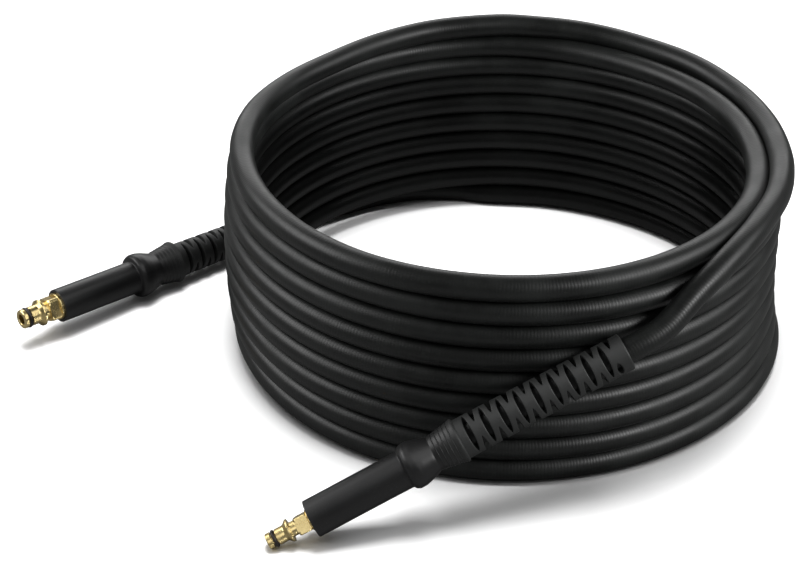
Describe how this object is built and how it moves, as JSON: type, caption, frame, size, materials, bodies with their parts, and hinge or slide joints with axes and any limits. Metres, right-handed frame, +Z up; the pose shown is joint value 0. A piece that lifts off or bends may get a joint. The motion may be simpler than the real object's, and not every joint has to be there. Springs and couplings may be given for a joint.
{
  "type": "pressure washer hose",
  "caption": "Coiled black rubber high-pressure hose with a brass plug, seal and slotted bend protector on each end, lying on the floor.",
  "frame": {"origin": "on the floor below the middle of the whole object's box", "axes": "+Z up out of the floor; the front end's plug and protector lie on the -Y side of the coil and the rear end's point to -X; the coil's own axis is parallel to Z"},
  "size_m": [0.4686, 0.3928, 0.1425],
  "materials": {
    "hose_rubber": "semi-matte extruded rubber with fine cross-wise wrap marks",
    "moulded_black": "satin moulded rubber",
    "machined_brass": "turned and polished",
    "seal_rubber": "smooth seal rubber"
  },
  "bodies": {
    "root": {"hose_coil": "hose_rubber", "hose_lead_front": "hose_rubber", "hose_lead_rear": "hose_rubber", "bend_protector_front": "moulded_black", "bend_protector_rear": "moulded_black", "plug_front": "machined_brass", "plug_rear": "machined_brass", "o_ring_front": "seal_rubber", "o_ring_rear": "seal_rubber", "ferrule_front": "machined_brass", "ferrule_rear": "machined_brass"}
  },
  "joints": []
}
